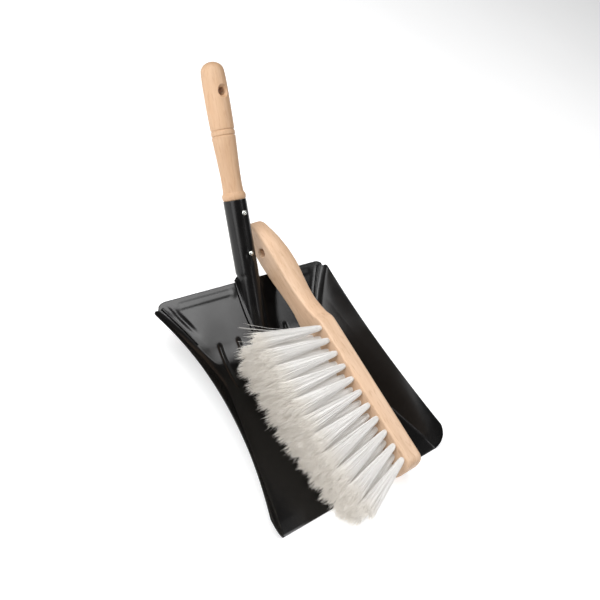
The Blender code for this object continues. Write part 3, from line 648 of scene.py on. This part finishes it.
# %% Handle profile and hole
def handle_profile():
    top, grip = 141.8 * MM, 13.0 * MM
    line = [(0, top)]
    line += [(grip * 0.94 * sin(pi / 2 * k / 8), top - 10 * MM * (1 - cos(pi / 2 * k / 8)))
             for k in range(1, 9)]
    line += [(grip * 0.975, top - 15 * MM), (grip * 0.99, top - 22 * MM)]
    line += [(grip, top - 34 * MM), (grip * 0.995, top - 52 * MM)]
    for groove in (72.5 * MM, 66.8 * MM):
        edge = grip * 0.968
        line += [(edge, groove + 1.5 * MM), (edge - 0.05 * MM, groove + 0.75 * MM)]
        line += [(edge - 1.25 * MM, groove)]
        line += [(edge - 0.05 * MM, groove - 0.75 * MM), (edge, groove - 1.5 * MM)]
    line += [(grip * 0.93, 56 * MM), (grip * 0.88, 44 * MM), (10.87 * MM, 32 * MM), (10.6 * MM, 22 * MM)]
    line += [(10.7 * MM, 14 * MM), (10.9 * MM, 9.4 * MM), (10.95 * MM, 8.4 * MM), (11.2 * MM, 7.9 * MM)]
    line += [(11.9 * MM, 7.2 * MM), (12.6 * MM, 5.6 * MM), (12.7 * MM, 3.8 * MM), (12.5 * MM, 1.9 * MM)]
    line += [(11.9 * MM, 0.6 * MM), (11.7 * MM, 0.35 * MM), (11.1 * MM, 0.3 * MM), (11.1 * MM, -2 * MM)]
    line += [(11.1 * MM, -46 * MM), (10.2 * MM, -52 * MM), (10.2 * MM, -70 * MM), (8.7 * MM, -72 * MM)]
    return line + [(4 * MM, -72 * MM), (0, -72 * MM)]


def apply_modifiers(made):
    mesh = bpy.data.meshes.new_from_object(made.evaluated_get(bpy.context.evaluated_depsgraph_get()))
    made.modifiers.clear()
    made.data = mesh


def drill(made, bits):
    """Cut turned bits out of a piece, one after the other."""
    for bit in bits:
        mesh = bpy.data.meshes.new("bit")
        bit.to_mesh(mesh)
        bit.free()
        tool = bpy.data.objects.new("bit", mesh)
        bpy.context.scene.collection.objects.link(tool)
        hole = made.modifiers.new("hole", "BOOLEAN")
        hole.operation, hole.solver, hole.object = "DIFFERENCE", "EXACT", tool
        apply_modifiers(made)
        bpy.data.objects.remove(tool, do_unlink=True)
    mark_sharp(made, 32)


def mark_sharp(made, angle):
    bm = bmesh.new()
    bm.from_mesh(made.data)
    bmesh.ops.remove_doubles(bm, verts=bm.verts, dist=0.004 * MM)
    for face in bm.faces:
        face.smooth = True
    for edge in bm.edges:
        edge.smooth = len(edge.link_faces) < 2 or edge.calc_face_angle() < radians(angle)
    bm.to_mesh(made.data)
    bm.free()


def hourglass(reach, radius, wide, sink, place):
    """A drill bit with a countersink at each end."""
    mouth, waist = wide + (reach - sink), sink - (wide - radius) * 1.1
    half = [(0, reach), (mouth, reach), (wide, sink), (radius, waist)]
    return turned(half + [(r, -z) for r, z in reversed(half)], 40, place)


handle_place = stand(RIM, Vector((1, 0, 0)), -ABOVE, -DOWN)
grain = stand(RIM, -DOWN, Vector((1, 0, 0)), (-DOWN).cross(Vector((1, 0, 0))))
handle_wood = beech("beech_turned", RIM, grain.to_euler(),
                    (0.555, 0.372, 0.235), (0.425, 0.265, 0.155), 3.1)
handle = piece("pan_grip", turned(handle_profile(), 40, handle_place), handle_wood, "beech",
               "pan", "pan_handle")
rounding = handle.modifiers.new("rounding", "SUBSURF")
rounding.levels = rounding.render_levels = 2
apply_modifiers(handle)
drill(handle, [hourglass(20 * MM, 4.2 * MM, 7.3 * MM, 13.0 * MM,
                         stand(on_socket(0, 0, -110.8 * MM), Vector((1, 0, 0)), -DOWN, ABOVE))])
print("handle triangles", len(handle.data.polygons))

# %% [markdown]
# ## The brush block
# The block is sawn from a board to an outline, and its edges are rounded: more on the back than
# round the bristle face. The handle is part of it, and is sanded rounder. So the outline is drawn,
# extruded, bevelled and sliced, and then the slices of the handle are smoothed, as sanding does.

# %% The brush's own frame: x along the handle, y across, z out of the bristle face
def brush_place():
    yaw, slope, roll = radians(-0.8), radians(9.3), radians(6.0)
    along = Vector((sin(yaw) * cos(slope), cos(yaw) * cos(slope), sin(slope)))
    side = along.cross(Vector((0, 0, 1))).normalized()
    up = side.cross(along)
    return stand(LIP + Vector((27.8, 79.2, 35.1)) * MM, along, side * sin(roll) - up * cos(roll),
                 -side * cos(roll) - up * sin(roll))


BRUSH = brush_place()
THICK, FRONT, SHOULDER, TIP = 19.7 * MM, 90.2 * MM, 84 * MM, 221 * MM
FULLNESS, FULL_AT, FULL_HALF = 6.6 * MM, 164 * MM, 62 * MM          # swell of the grip's back
HANDLE_BEND, BEND_LENGTH = 2.5 * MM, 85 * MM                        # towards the bristle side


def outline():
    """Half outline from the front end to the handle's tip."""
    half, neck, grip = 21.3 * MM, 13.25 * MM, 16.25 * MM
    line = [(-FRONT, 0), (-FRONT, 4 * MM), (-FRONT + 0.2 * MM, 0.35 * half)]
    line += [(-FRONT + 0.6 * MM, 0.5 * half)]
    for k in range(9):
        angle = pi / 2 * k / 8
        line.append((-FRONT + 1.2 * MM + 9 * MM * (1 - cos(angle)), half - 9 * MM * (1 - sin(angle))))
    line += [(SHOULDER - 3 * MM, half), (SHOULDER + 1.5 * MM, half - 1.4 * MM)]
    line += [(SHOULDER + 8 * MM, half - 5 * MM), (SHOULDER + 15 * MM, neck + 1.8 * MM)]
    line += [(SHOULDER + 24 * MM, neck + 0.3 * MM), (SHOULDER + 34 * MM, neck)]
    line += [(TIP - 80 * MM, neck + 0.6 * MM), (TIP - 71 * MM, neck + 1.8 * MM)]
    line += [(TIP - 62 * MM, grip - 0.5 * MM)]
    line += [(TIP - 46 * MM, grip), (TIP - 30 * MM, grip - 0.4 * MM), (TIP - 18 * MM, grip - 2.2 * MM)]
    for k in range(1, 9):
        angle = pi / 2 * k / 8
        line.append((TIP - 11 * MM + 11 * MM * sin(angle), (grip - 4.5 * MM) * cos(angle)))
    return line


def width_at(x):
    """Half width of the outline at x."""
    line = outline()
    for (x0, y0), (x1, y1) in zip(line, line[1:]):
        if x0 <= x <= x1 and x1 > x0:
            return y0 + (y1 - y0) * (x - x0) / (x1 - x0)
    return line[-2][1]


def round_grip(co):
    """Draw a handle vertex towards an ellipse, and return the extra fullness of the grip's back."""
    share = min(1.0, max(0.0, (co.x - SHOULDER - 8 * MM) / (34 * MM)))
    across, deep = co.y / max(4 * MM, width_at(co.x)), (co.z + THICK / 2) / (THICK / 2)
    out = (across * across + deep * deep) ** 0.5
    inset = 0.42 * share * max(0.0, 1 - 1 / max(1.0, out))
    co.y *= 1 - inset
    co.z = (co.z + THICK / 2) * (1 - inset) - THICK / 2
    return -FULLNESS * hump(co.x - FULL_AT, FULL_HALF) * max(0.0, -deep)


def make_block():
    half = outline()
    bm = bmesh.new()
    ring = [bm.verts.new((x, y, 0)) for x, y in half + [(x, -y) for x, y in reversed(half[1:-1])]]
    face = bm.faces.new(ring)
    raised = bmesh.ops.extrude_face_region(bm, geom=[face])["geom"]
    far = [item for item in raised if isinstance(item, bmesh.types.BMVert)]
    bmesh.ops.translate(bm, verts=far, vec=(0, 0, -THICK))
    for level, radius, steps in ((-THICK, 4.0 * MM, 4), (0, 1.8 * MM, 3)):
        rim = [edge for edge in bm.edges
               if all(abs(vert.co.z - level) < 0.01 * MM for vert in edge.verts)]
        bmesh.ops.bevel(bm, geom=rim, offset=radius, offset_type="OFFSET", affect="EDGES",
                        segments=steps, profile=0.5, material=-1)
    cuts = [((x * 3 * MM, 0, 0), (1, 0, 0)) for x in range(-29, 74)]
    cuts += [((0, y * 3.2 * MM, 0), (0, 1, 0)) for y in range(-6, 7)]
    cuts += [((0, 0, z * MM), (0, 0, 1)) for z in (-5, -8, -11, -14)]
    for where, normal in cuts:
        bmesh.ops.bisect_plane(bm, geom=bm.verts[:] + bm.edges[:] + bm.faces[:], dist=0.001 * MM,
                               plane_co=where, plane_no=normal)
    for start, passes in ((12, 3), (24, 5)):
        soften(bm, [vert for vert in bm.verts if vert.co.x > SHOULDER + start * MM], passes, along=False)
    for vert in bm.verts:
        share = min(1.0, max(0.0, (vert.co.x - SHOULDER) / BEND_LENGTH))
        vert.co.z += round_grip(vert.co) + HANDLE_BEND * share * share * (3 - 2 * share)
    bmesh.ops.recalc_face_normals(bm, faces=bm.faces)
    bmesh.ops.transform(bm, matrix=BRUSH, verts=bm.verts)
    return bm


block_wood = beech("beech_sawn", BRUSH.translation, BRUSH.to_euler(),
                   (0.735, 0.530, 0.372), (0.580, 0.384, 0.245), 8.4)
block = piece("brush_back", make_block(), block_wood, "beech", "brush", "brush_block", sharp=32)
hang = BRUSH @ Matrix.Translation((TIP - 36.5 * MM, 0, -THICK / 2 + 2.3 * MM))
drill(block, [hourglass(18 * MM, 4.2 * MM, 5.2 * MM, 9.6 * MM, hang)])

# %% [markdown]
# ## The tufts
# Each tuft is a bundle of fibres folded in half and driven into a drilled hole. It leaves the face
# tight and round, then widens and sags, and its ends are flagged: split into finer hairs, which give
# the brush its soft edge. A tuft is drawn as a few hundred curves with a round section, turned into
# one mesh. Every choice comes from one seeded generator, so each run gives the same brush.

# %% Where each tuft starts and ends
LENGTH, ROOT, SPREAD, ROWS = 84 * MM, 2.7 * MM, 6.6 * MM, (11, 10, 11, 10)
FANNED = 1.28                      # the loose ends spread this much wider than the bundle


def tuft_line(row, index):
    """Root, knee and tip of a tuft, each tip kept above the floor and above the row below."""
    across = (row - 1.5) * 10.4 * MM
    lean = radians(-1.5 + 9.0 * (3 - row) / 3)
    place = (index - 0.5 * (ROWS[row] - 1)) * 15.45 * MM
    fan = radians(11.4) * place / (5 * 15.45 * MM) - radians(5.4)
    leave = Vector((sin(fan), -sin(lean) * cos(fan), cos(fan) * cos(lean))).normalized()
    root = BRUSH @ Vector((place, across, 0))
    leave = (BRUSH.to_3x3() @ leave).normalized()
    tip = root + leave * LENGTH
    tip.z = max(tip.z, FLOOR + SPREAD + 0.6 * MM + (3 - row) * 11.6 * MM)
    knee = root + leave * 0.45 * LENGTH
    knee.z = max(knee.z, FLOOR + (ROOT + SPREAD) / 2 + 1.2 * MM)
    return root, knee, tip


print("tufts", sum(ROWS))

# %% Drawing hairs
def hairs(name, lines):
    """A mesh of thin round hairs; each line is a list of (point, radius)."""
    curve = bpy.data.curves.new(name, "CURVE")
    curve.dimensions, curve.bevel_depth, curve.bevel_resolution, curve.use_fill_caps = "3D", 1.0, 0, True
    for line in lines:
        spline = curve.splines.new("POLY")
        spline.points.add(len(line) - 1)
        spline.points.foreach_set("co", [c for where, _ in line for c in (*where, 1)])
        spline.points.foreach_set("radius", [radius for _, radius in line])
    drawn = bpy.data.objects.new(name, curve)
    bpy.context.scene.collection.objects.link(drawn)
    mesh = bpy.data.meshes.new_from_object(drawn.evaluated_get(bpy.context.evaluated_depsgraph_get()))
    bpy.data.objects.remove(drawn, do_unlink=True)
    bm = bmesh.new()
    bm.from_mesh(mesh)
    bpy.data.meshes.remove(mesh)
    return bm


def ring_axes(root, knee, tip, t):
    """Two directions square to a tuft's middle line at t."""
    run = ((knee - root) * (1 - t) + (tip - knee) * t).normalized()
    first = run.cross(Vector((0, 0, 1))).normalized()
    return first, first.cross(run)


def fibres(row, index, count, dice):
    """The fibres of one tuft, each with its flagged end, round a dense middle where they touch."""
    root, knee, tip = tuft_line(row, index)
    spread = SPREAD * FANNED
    lines = []
    for _ in range(7):
        angle, core = dice.uniform(0, 2 * pi), []
        for t in (0.0, 0.2, 0.4, 0.6, 0.74, 0.84):
            thick = 0.55 * (ROOT + (spread - ROOT) * t) * (1 if t < 0.8 else 0.45)
            first, second = ring_axes(root, knee, tip, t)
            aside = (first * cos(angle) + second * sin(angle)) * thick * 0.55
            core.append((bow(root, knee, tip, t) + aside, thick))
        lines.append(core)
    for _ in range(count):
        angle, out = dice.uniform(0, 2 * pi), dice.random() ** 0.5
        reach = dice.gauss(1.0, 0.022 if row == 0 else 0.034) - 0.03 * out * out
        wander = Vector([dice.gauss(0, (0.5 if row == 0 else 1.0) * MM) for _ in range(3)])
        line = []
        for share in (0.0, 0.06, 0.25, 0.48, 0.7, 0.86, 1.0):
            t = share * reach
            middle = bow(root, knee, tip, t)
            first, second = ring_axes(root, knee, tip, t)
            radius = out * (ROOT - 0.2 * MM + 0.55 * MM * min(1.0, t / 0.06) + (spread - ROOT) * t ** 1.1)
            where = middle + (first * cos(angle) + second * sin(angle)) * radius + wander * t * t
            where.z = max(where.z, FLOOR + 0.4 * MM)
            line.append((where, (0.13 + 0.10 * min(1, 2.2 * t)) * MM * (1 if share < 1 else 0.7)))
        lines.append(line)
        lines += flags(line, dice)
    return lines


def flags(line, dice):
    """Fine hairs into which a fibre's end is split."""
    end, before = line[-1][0], line[-2][0]
    run = (end - before).normalized()
    made = []
    for _ in range(2):
        stray = Vector([dice.gauss(0, 0.16) for _ in range(3)])
        start = before.lerp(end, dice.uniform(0.45, 0.85))
        way = (run + stray).normalized()
        length = dice.uniform(4, 8) * MM
        bent = start + way * length * 0.5 + stray * 0.6 * MM
        tip = start + way * length
        for where in (bent, tip):
            where.z = max(where.z, FLOOR + 0.3 * MM)
        made.append([(start, 0.11 * MM), (bent, 0.085 * MM), (tip, 0.03 * MM)])
    return made


# %% All forty-two tufts
FIBRES = 300
brush_turn = BRUSH.to_euler()
fibre = white_fibre(BRUSH.translation, brush_turn, LENGTH)
dice = random.Random(11)
for row, count in enumerate(ROWS):
    for index in range(count):
        name = "tuft_%d_%02d" % (row + 1, index + 1)
        piece("bristles_%d_%02d" % (row + 1, index + 1), hairs(name, fibres(row, index, FIBRES, dice)),
              fibre, "white_fibre", "brush", name, sharp=180)

# %% [markdown]
# ## Loose hairs
# A few fibres at the handle end have slipped out of line and stand off the brush. They are drawn in
# the same way, each on its own gentle curve.

# %% Loose hairs
def loose_hairs():
    lines = []
    for row, index in ((0, 10), (0, 10), (0, 9), (1, 9)) * 5:
        root, knee, tip = tuft_line(row, index)
        off = Vector((dice.uniform(3, 16), -dice.uniform(1, 11), dice.uniform(0, 8)))
        aside = BRUSH.to_3x3() @ off * MM
        line = []
        for t in (0.05, 0.3, 0.55, 0.8, 1.0, 1.08):
            line.append((bow(root, knee, tip, t) + aside * t * t, 0.14 * MM if t < 1.05 else 0.06 * MM))
        lines.append(line)
    return lines


piece("loose_hairs", hairs("loose", loose_hairs()), fibre, "white_fibre", "brush", sharp=180)

# %% [markdown]
# ## Stage and light
# The set stands on a plain pale floor that glows a little, as a lit backdrop does. Paint this dark
# shows little but what it mirrors, so the lights are placed by their reflections. The back wall
# mirrors a small panel high at the front right, strongest on its left half. A broad panel overhead
# and one low at the left light the wood and the bristles, and a narrow one at the front draws the
# line along the socket. Nothing bright stands at the rear right, so the pan's floor stays black.

# %% Floor
def make_floor():
    ground = Finish("pale_floor")
    tone = ground.speckle(ground.place(), 3, 2.0)
    pale = ground.ramp(tone, (0.3, (0.86, 0.86, 0.86)), (0.7, (0.89, 0.89, 0.89)))
    look = ground.set(Base_Color=pale, Roughness=0.7, Emission_Color=(1, 1, 1, 1), Emission_Strength=0.42)
    bm = bmesh.new()
    bmesh.ops.create_grid(bm, x_segments=2, y_segments=2, size=6)
    mesh = bpy.data.meshes.new("floor")
    bm.to_mesh(mesh)
    bm.free()
    mesh.materials.append(look)
    floor = bpy.data.objects.new("floor", mesh)
    bpy.context.scene.collection.objects.link(floor)
    floor.location = (0, 0, cad_box[0].z - 0.0005)


make_floor()
print("floor ready")

# %% Lights
def panel(name, way, distance, size, radiance, target=Vector((0, 0, 0.03))):
    """A square soft light that faces the object from the direction given."""
    light = bpy.data.lights.new(name, "AREA")
    light.shape = "SQUARE"
    light.size = size
    light.energy = radiance * pi * size * size
    made = bpy.data.objects.new(name, light)
    bpy.context.scene.collection.objects.link(made)
    way = Vector(way).normalized()
    made.location = target + way * distance
    made.rotation_euler = way.to_track_quat("Z", "Y").to_euler()
    print(name, "at", [round(v, 2) for v in made.location])


panel("front_right_panel", (0.46, -0.34, 0.80), 2.4, 0.85, 8.6)
panel("overhead_panel", (-0.40, 0.22, 0.88), 1.5, 1.2, 4.3)
panel("left_panel", (-0.90, -0.02, 0.44), 1.7, 1.25, 3.3)
panel("front_strip", (0.15, -0.80, 0.58), 2.0, 0.4, 2.6)
world = bpy.data.worlds.new("studio")
world.use_nodes = True
world.node_tree.nodes["Background"].inputs["Color"].default_value = (0.95, 0.97, 1.0, 1)
world.node_tree.nodes["Background"].inputs["Strength"].default_value = 0.09
bpy.context.scene.world = world
bpy.context.scene.view_settings.view_transform = "Standard"
print("lights ready")
